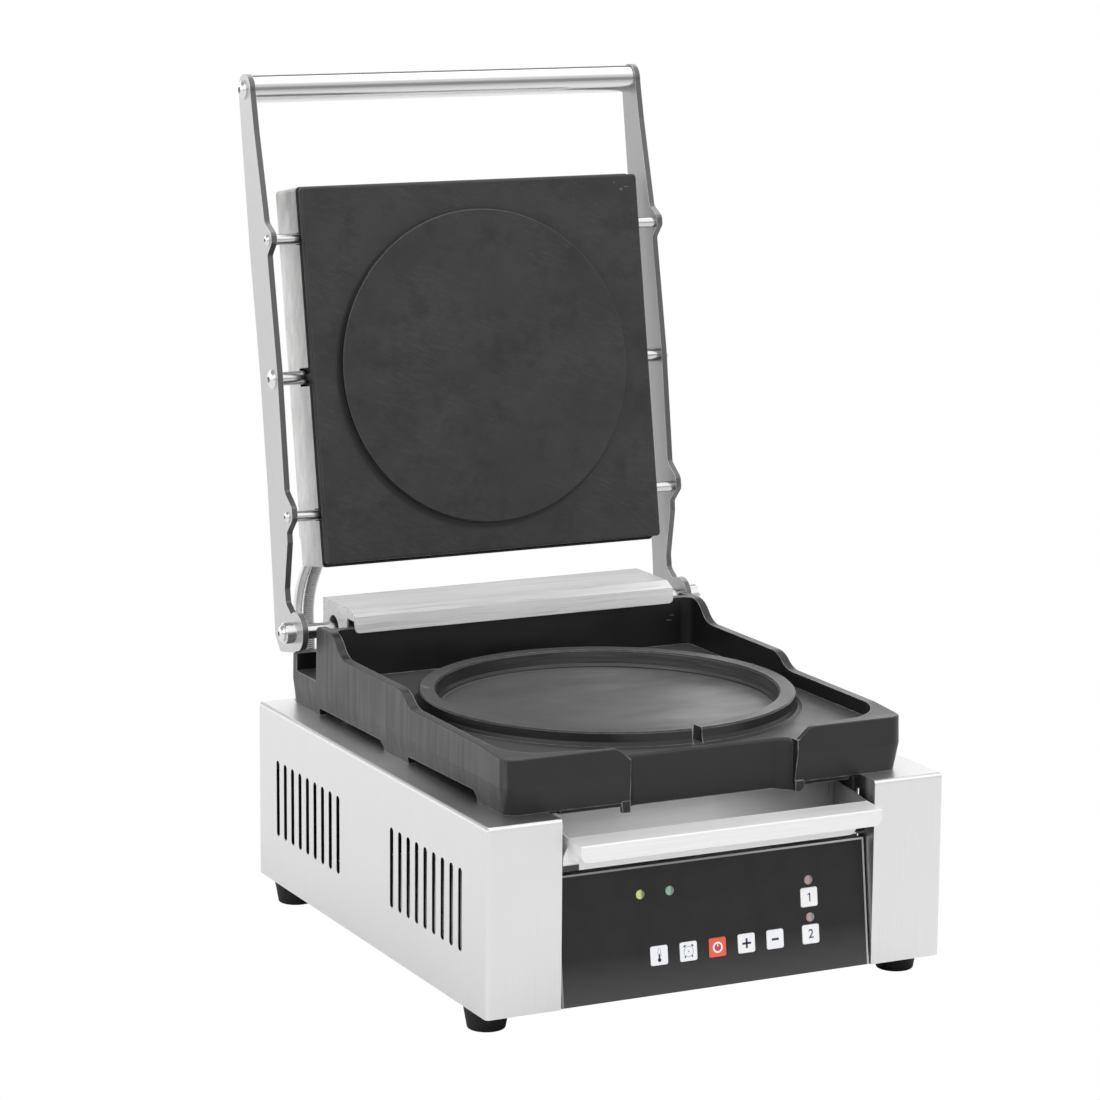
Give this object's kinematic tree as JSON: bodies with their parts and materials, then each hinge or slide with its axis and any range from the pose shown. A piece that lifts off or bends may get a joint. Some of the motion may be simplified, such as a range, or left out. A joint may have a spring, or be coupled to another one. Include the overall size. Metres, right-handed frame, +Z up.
{
  "type": "omelet maker",
  "caption": "Countertop electric omelet maker: cast lower well with a pouring spout, hinged upper disc plate with handle, slide-out drip tray and key panel, lid open.",
  "frame": {"origin": "middle of the outline on the table, under the machine with its lid open", "axes": "+X to the machine's right as seen from the front, +Y to the back, +Z up; the front faces -Y"},
  "size_m": [0.31, 0.4229, 0.5371],
  "materials": {
    "steel_body": "satin",
    "steel_cover": "brushed along its length",
    "tray_steel": "satin",
    "arm_steel": "brushed along its length",
    "handle_steel": "polished",
    "housing_steel": "plain, slightly stained",
    "turned_steel": "turned",
    "screw_steel": "bright",
    "black_casting": "black non-stick coat, satin",
    "plate_iron": "black non-stick coat, matt",
    "bearing_metal": "machined",
    "heater_steel": "dull",
    "insulation_board": "fibrous",
    "black_panel": "fine satin film",
    "black_plastic": "matt",
    "rubber": "matt",
    "key_white": "soft gloss",
    "key_red": "soft gloss",
    "light_yellow": "clear lens",
    "light_green": "clear lens",
    "light_channel": "clear lens",
    "board_green": "coated board",
    "conduit_light": "braided wire",
    "conduit_dark": "ribbed"
  },
  "bodies": {
    "base": {"block_screws": "screw_steel", "board_posts": "screw_steel", "body_shell": "steel_body", "bottom_pan": "steel_body", "clamp_screw": "screw_steel", "conduit_braided": "conduit_light", "conduit_ferrules": "screw_steel", "conduit_ribbed": "conduit_dark", "control_board": "board_green", "cord_gland": "black_plastic", "cover_screws": "screw_steel", "foot_screws": "screw_steel", "heater_clamp": "heater_steel", "key_switches": "black_plastic", "left_bearing_block": "bearing_metal", "light_green": "light_green", "light_yellow": "light_yellow", "lights_channel": "light_channel", "lower_casting": "black_casting", "lower_heater": "heater_steel", "panel_bracket": "steel_body", "panel_overlay": "black_panel", "rear_cover": "steel_cover", "rear_panel": "steel_body", "right_bearing_block": "bearing_metal", "rubber_feet": "rubber", "tray_runners": "steel_body"},
    "lid": {"hinge_shaft": "turned_steel", "stop_pins": "turned_steel", "hinge_collars": "turned_steel", "hinge_screws": "screw_steel", "left_arm": "arm_steel", "right_arm": "arm_steel", "handle_tube": "handle_steel", "handle_plugs": "turned_steel", "handle_screws": "screw_steel", "pivot_pins": "turned_steel", "tilt_rods": "turned_steel", "pivot_screws": "screw_steel", "rod_screws": "screw_steel"},
    "plate": {"upper_plate": "plate_iron", "upper_heater": "heater_steel", "upper_insulation": "insulation_board", "upper_housing": "housing_steel", "housing_posts": "turned_steel", "housing_screws": "screw_steel", "conduit_outlet": "housing_steel"},
    "tray": {"drip_tray": "tray_steel"},
    "key_temperature_cap": {"key_temperature": "key_white"},
    "key_timer_cap": {"key_timer": "key_white"},
    "key_power_cap": {"key_power": "key_red"},
    "key_plus_cap": {"key_plus": "key_white"},
    "key_minus_cap": {"key_minus": "key_white"},
    "key_one_cap": {"key_one": "key_white"},
    "key_two_cap": {"key_two": "key_white"}
  },
  "joints": [
    {"name": "lid_hinge", "type": "hinge", "parent": "base", "child": "lid", "pos_m": [0, 0.11934, 0.18231], "axis": [1, 0, 0], "range_deg": [0, 99.93], "deforming": ["conduit_braided", "conduit_ribbed"]},
    {"name": "plate_tilt", "type": "hinge", "parent": "lid", "child": "plate", "pos_m": [0, 0.15531, 0.34312], "axis": [1, 0, 0], "range_deg": [-1, 0]},
    {"name": "tray_slide", "type": "slide", "parent": "base", "child": "tray", "axis": [0, -1, 0], "range_m": [0, 0.035]},
    {"name": "key_temperature_press", "type": "slide", "parent": "base", "child": "key_temperature_cap", "axis": [0, 0.9919, -0.1271], "range_m": [0, 0.0008], "stiffness_N_per_m": 400},
    {"name": "key_timer_press", "type": "slide", "parent": "base", "child": "key_timer_cap", "axis": [0, 0.9919, -0.1271], "range_m": [0, 0.0008], "stiffness_N_per_m": 400},
    {"name": "key_power_press", "type": "slide", "parent": "base", "child": "key_power_cap", "axis": [0, 0.9919, -0.1271], "range_m": [0, 0.0008], "stiffness_N_per_m": 400},
    {"name": "key_plus_press", "type": "slide", "parent": "base", "child": "key_plus_cap", "axis": [0, 0.9919, -0.1271], "range_m": [0, 0.0008], "stiffness_N_per_m": 400},
    {"name": "key_minus_press", "type": "slide", "parent": "base", "child": "key_minus_cap", "axis": [0, 0.9919, -0.1271], "range_m": [0, 0.0008], "stiffness_N_per_m": 400},
    {"name": "key_one_press", "type": "slide", "parent": "base", "child": "key_one_cap", "axis": [0, 0.9919, -0.1271], "range_m": [0, 0.0008], "stiffness_N_per_m": 400},
    {"name": "key_two_press", "type": "slide", "parent": "base", "child": "key_two_cap", "axis": [0, 0.9919, -0.1271], "range_m": [0, 0.0008], "stiffness_N_per_m": 400}
  ]
}
